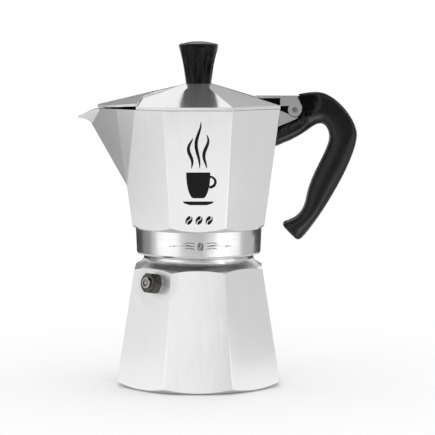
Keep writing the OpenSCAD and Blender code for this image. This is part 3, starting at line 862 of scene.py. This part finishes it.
cup = ([(-7.4, 137.2), (7.4, 137.2)]
       + cubic((7.4, 136.6), (7.4, 128.5), (5.6, 122.6), (3.4, 121.2), 12)
       + [Vector((3.4, 121.2)), Vector((-3.4, 121.2))]
       + cubic((-3.4, 121.2), (-5.6, 122.6), (-7.4, 128.5), (-7.4, 136.6), 12))
cup = [(p[0] + FRONT_X, p[1]) for p in cup]
ear_out = oval(7.2, 131.2, 4.3, 4.0, 24, -92, 98)
ear_in = oval(7.2, 131.4, 2.7, 2.5, 24, -100, 106)
saucer = [(-9.4, 119.2), (-8.4, 118.0), (-5.0, 116.9), (5.4, 116.9), (8.8, 118.0), (9.8, 119.2)]
front_mark = [cup, ear_out + ear_in[::-1], saucer]
for i, (x, top) in enumerate(((-4.4, 158.5), (FRONT_X, 168.5), (4.8, 160.5))):
    front_mark.append(steam(x, 139.6, top, 1.7, 1.9, 0.4 + 0.9 * i))
for x in (-5.6, 0.6, 6.8):
    front_mark += bean(x, 107.4, 2.0, 2.9, -28, 0.55)
mark = object_from("front_mark", *slab(front_mark, on_front, 0.08), ink, "collector", sharp=30.0)

collar_mark = bean(COLLAR_MARK_X, COLLAR_MARK_Z, 1.9, 2.9, 0.0, 0.5)
for way in (-1, 1):
    for lift, reach, fat in ((0.0, 12.0, 1.1), (1.7, 7.5, 0.8), (-1.7, 7.5, 0.8)):
        swash = [(COLLAR_MARK_X + way * (3.4 + reach * i / 24),
                  COLLAR_MARK_Z + lift + 0.6 * math.sin(math.pi * i / 24)) for i in range(25)]
        collar_mark.append(
            band(swash, lambda t: 0.12 + fat * math.sin(math.pi * t) * (1 - 0.6 * t)))
    for i in range(3):
        size, dot_x = 0.55 - 0.12 * i, COLLAR_MARK_X + way * (16.6 + 1.7 * i)
        collar_mark.append(oval(dot_x, COLLAR_MARK_Z, size, size, 16))
etch = object_from("collar_mark", *slab(collar_mark, on_collar, 0.03), etched, "collector",
                   sharp=30.0)


# ---------------------------------------------------------------- floor, studio light, camera

def card(name, corners, grey):
    """A plain board that is only seen in reflections."""
    mesh = bpy.data.meshes.new(name)
    mesh.from_pydata(corners, [], [tuple(range(len(corners)))])
    obj = bpy.data.objects.new(name, mesh)
    bpy.context.scene.collection.objects.link(obj)
    mat, _, shader = new_material(name)
    shader.inputs["Base Color"].default_value = (0.0, 0.0, 0.0, 1.0)
    shader.inputs["Specular IOR Level"].default_value = 0.0
    shader.inputs["Emission Color"].default_value = (grey, grey, grey, 1.0)
    shader.inputs["Emission Strength"].default_value = 1.0
    mesh.materials.append(mat)
    obj.visible_camera = False
    obj.visible_diffuse = False
    obj.visible_shadow = False


def upright(name, y, x_low, x_high, z_low, z_high, grey):
    """A board that faces along Y."""
    card(name, [(x_low, y, z_low), (x_high, y, z_low), (x_high, y, z_high), (x_low, y, z_high)],
         grey)


def sideways(name, x, y_low, y_high, z_low, z_high, grey):
    """A board that faces along X."""
    card(name, [(x, y_low, z_low), (x, y_high, z_low), (x, y_high, z_high), (x, y_low, z_high)],
         grey)


def level(name, z, x_low, x_high, y_low, y_high, grey):
    """A board that lies flat."""
    card(name, [(x_low, y_low, z), (x_high, y_low, z), (x_high, y_high, z), (x_low, y_high, z)],
         grey)


floor_mesh = bpy.data.meshes.new("floor")
FLOOR_REACH = 30.0
floor_mesh.from_pydata([(-FLOOR_REACH, -FLOOR_REACH, 0), (FLOOR_REACH, -FLOOR_REACH, 0),
                        (FLOOR_REACH, FLOOR_REACH, 0), (-FLOOR_REACH, FLOOR_REACH, 0)],
                       [], [(0, 1, 2, 3)])
floor = bpy.data.objects.new("floor", floor_mesh)
bpy.context.scene.collection.objects.link(floor)
floor_mat, _, floor_shader = new_material("floor")
floor_shader.inputs["Base Color"].default_value = (0.97, 0.97, 0.97, 1.0)
floor_shader.inputs["Roughness"].default_value = 0.9
floor_shader.inputs["Specular IOR Level"].default_value = 0.0
floor_mesh.materials.append(floor_mat)

world = bpy.data.worlds.new("studio")
bpy.context.scene.world = world
world.use_nodes = True
background = world.node_tree.nodes["Background"]
background.inputs["Color"].default_value = (1.0, 1.0, 1.0, 1.0)
background.inputs["Strength"].default_value = 1.04

# Dark and grey boards shape the reflections in the polished metal. ON_FLOOR keeps a flat one
# just clear of the floor, and ABOVE_THAT clear of those.
ON_FLOOR, ABOVE_THAT = 0.003, 0.004
level("card_floor_front", ON_FLOOR, -0.45, 0.45, -1.75, -0.75, 0.02)
upright("card_near_back", 0.25, -0.42, 0.42, 0.0, 0.085, 0.05)
upright("card_far_front_right", -1.60, 0.062, 1.2, 0.0, 0.45, 0.04)
upright("card_far_back", 1.50, -0.35, 0.35, 0.0, 0.50, 0.14)
upright("card_above_back", 0.60, 0.03, 0.5, 0.36, 0.53, 0.42)
upright("card_back_left", 0.60, -0.5, -0.02, 0.22, 0.42, 0.25)
sideways("card_right", 0.60, -0.5, 0.35, 0.045, 0.6, 0.72)
sideways("card_left", -0.60, -0.5, 0.05, 0.045, 0.6, 0.9)
sideways("card_left_back", -0.60, 0.05, 0.5, 0.0, 0.3, 0.36)
level("card_floor_right", ON_FLOOR, 0.2, 1.4, -0.5, 0.35, 0.72)
level("card_floor_left", ON_FLOOR, -1.4, -0.36, -0.5, 0.035, 0.86)
level("card_floor_left_back", ON_FLOOR, -1.4, -0.2, 0.035, 0.5, 0.36)
level("card_overhead", 0.6, -0.5, 0.5, -0.6, 0.0, 0.08)
# Bright boards on both sides give the turned collar and shoulder their light bands
for side in (-1, 1):
    near = (side * 0.160, -0.250)
    far = (side * 0.293, -0.062)
    card("card_bright", [near + (0.03,), far + (0.03,), far + (0.065,), near + (0.065,)], 2.1)
    card("card_bright_floor", [(side * 0.42, -0.42, ABOVE_THAT), (side * 0.62, -0.26, ABOVE_THAT),
                               (side * 0.80, -0.38, ABOVE_THAT), (side * 0.56, -0.60, ABOVE_THAT)],
         3.0)
level("card_handle_under", ABOVE_THAT, 0.07, 0.22, -0.34, -0.14, 3.5)

softbox_data = bpy.data.lights.new("softbox", "AREA")
softbox_data.shape = "RECTANGLE"
softbox_data.size = 0.22
softbox_data.size_y = 0.5
softbox_data.energy = 2.2
softbox = bpy.data.objects.new("softbox", softbox_data)
bpy.context.scene.collection.objects.link(softbox)
softbox.visible_diffuse = False
softbox.location = (0.62, -0.42, 0.52)
aim = Vector((0.05, 0.0, 0.12)) - softbox.location
softbox.rotation_euler = aim.to_track_quat("-Z", "Y").to_euler()

camera_data = bpy.data.cameras.new("camera")
camera = bpy.data.objects.new("camera", camera_data)
bpy.context.scene.collection.objects.link(camera)
# The camera that was fitted to the photo: it looks along Y, and a little down
CAMERA_DOWN = 5.17
camera.location = (11.96 * MM, -1326.0 * MM, 225.37 * MM)
camera.rotation_euler = (math.radians(90.0 - CAMERA_DOWN), 0.0, 0.0)
camera_data.sensor_width = 36.0
camera_data.lens = 173.54
camera_data.clip_start = 0.01
camera_data.clip_end = 100.0
camera_data.dof.use_dof = False
bpy.context.scene.camera = camera
bpy.context.scene.view_settings.view_transform = "Standard"
